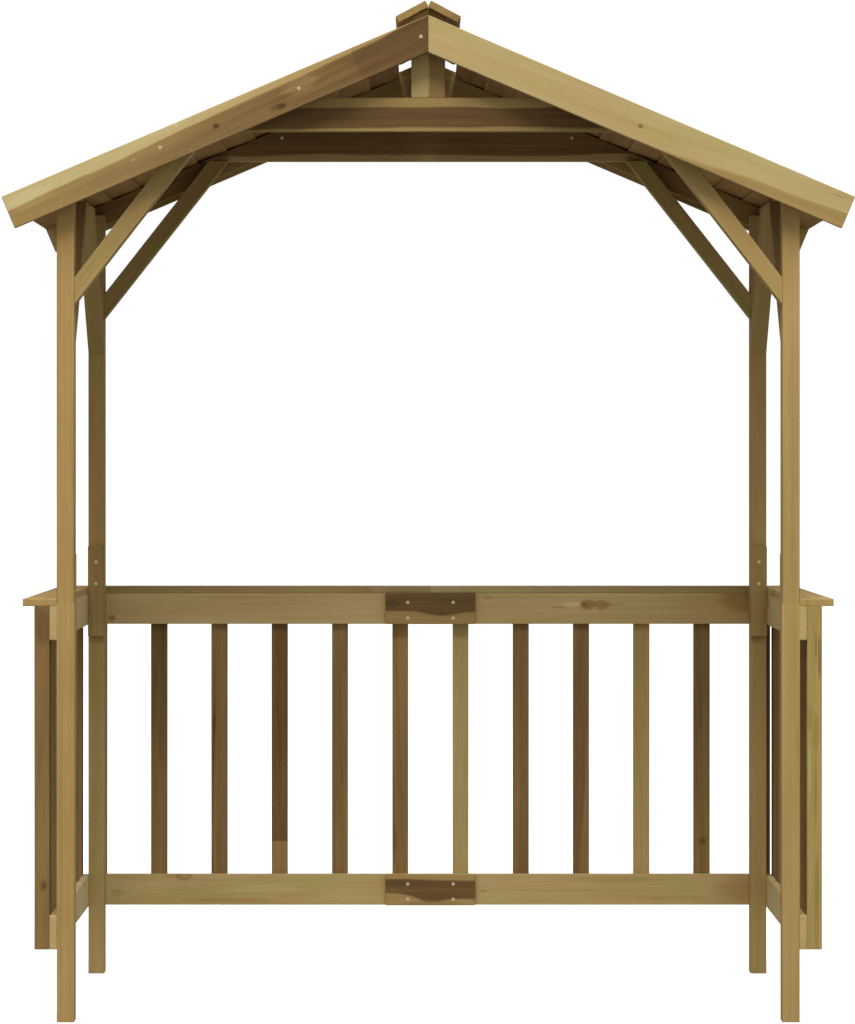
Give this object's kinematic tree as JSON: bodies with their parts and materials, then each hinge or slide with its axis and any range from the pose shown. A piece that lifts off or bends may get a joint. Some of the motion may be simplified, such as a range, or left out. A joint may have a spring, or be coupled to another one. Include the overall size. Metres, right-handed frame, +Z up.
{
  "type": "barbecue shelter",
  "caption": "Open wooden shelter for a barbecue: posts with knee braces carry a small gable roof of overlapping boards, with a baluster railing and narrow shelf on the sides and back.",
  "frame": {"origin": "on the ground, at the middle of the whole object's bounding box", "axes": "+Z up, +Y from the open front to the rear railing, +X to the right seen from the front"},
  "size_m": [1.748, 0.951, 2.102],
  "materials": {
    "post_wood": "planed, impregnated pine",
    "board_wood": "planed, impregnated pine",
    "brace_wood": "planed, impregnated pine",
    "roof_wood": "planed, impregnated pine",
    "baluster_wood": "planed, impregnated pine"
  },
  "bodies": {
    "root": {"front_left_post_lower": "post_wood", "front_left_post_upper": "post_wood", "front_right_post_lower": "post_wood", "front_right_post_upper": "post_wood", "rear_left_post_lower": "post_wood", "rear_left_post_upper": "post_wood", "rear_right_post_lower": "post_wood", "rear_right_post_upper": "post_wood", "post_splice_plates": "post_wood", "left_wall_plate": "board_wood", "right_wall_plate": "board_wood", "front_left_rafter": "brace_wood", "front_right_rafter": "brace_wood", "rear_left_rafter": "brace_wood", "rear_right_rafter": "brace_wood", "front_left_bargeboard": "board_wood", "front_right_bargeboard": "board_wood", "rear_left_bargeboard": "board_wood", "rear_right_bargeboard": "board_wood", "front_tie_beam": "board_wood", "rear_tie_beam": "board_wood", "front_king_post": "board_wood", "rear_king_post": "board_wood", "front_knee_braces": "brace_wood", "rear_knee_braces": "brace_wood", "left_knee_braces": "brace_wood", "right_knee_braces": "brace_wood", "left_roof_boards": "roof_wood", "right_roof_boards": "roof_wood", "left_ridge_cap": "board_wood", "right_ridge_cap": "board_wood", "left_top_rail": "board_wood", "left_bottom_rail": "board_wood", "right_top_rail": "board_wood", "right_bottom_rail": "board_wood", "rear_top_rail": "board_wood", "rear_bottom_rail": "board_wood", "rear_splice_plates": "board_wood", "left_balusters": "baluster_wood", "right_balusters": "baluster_wood", "rear_balusters_row": "baluster_wood", "left_shelf": "board_wood", "right_shelf": "board_wood", "rear_shelf": "board_wood"}
  },
  "joints": []
}
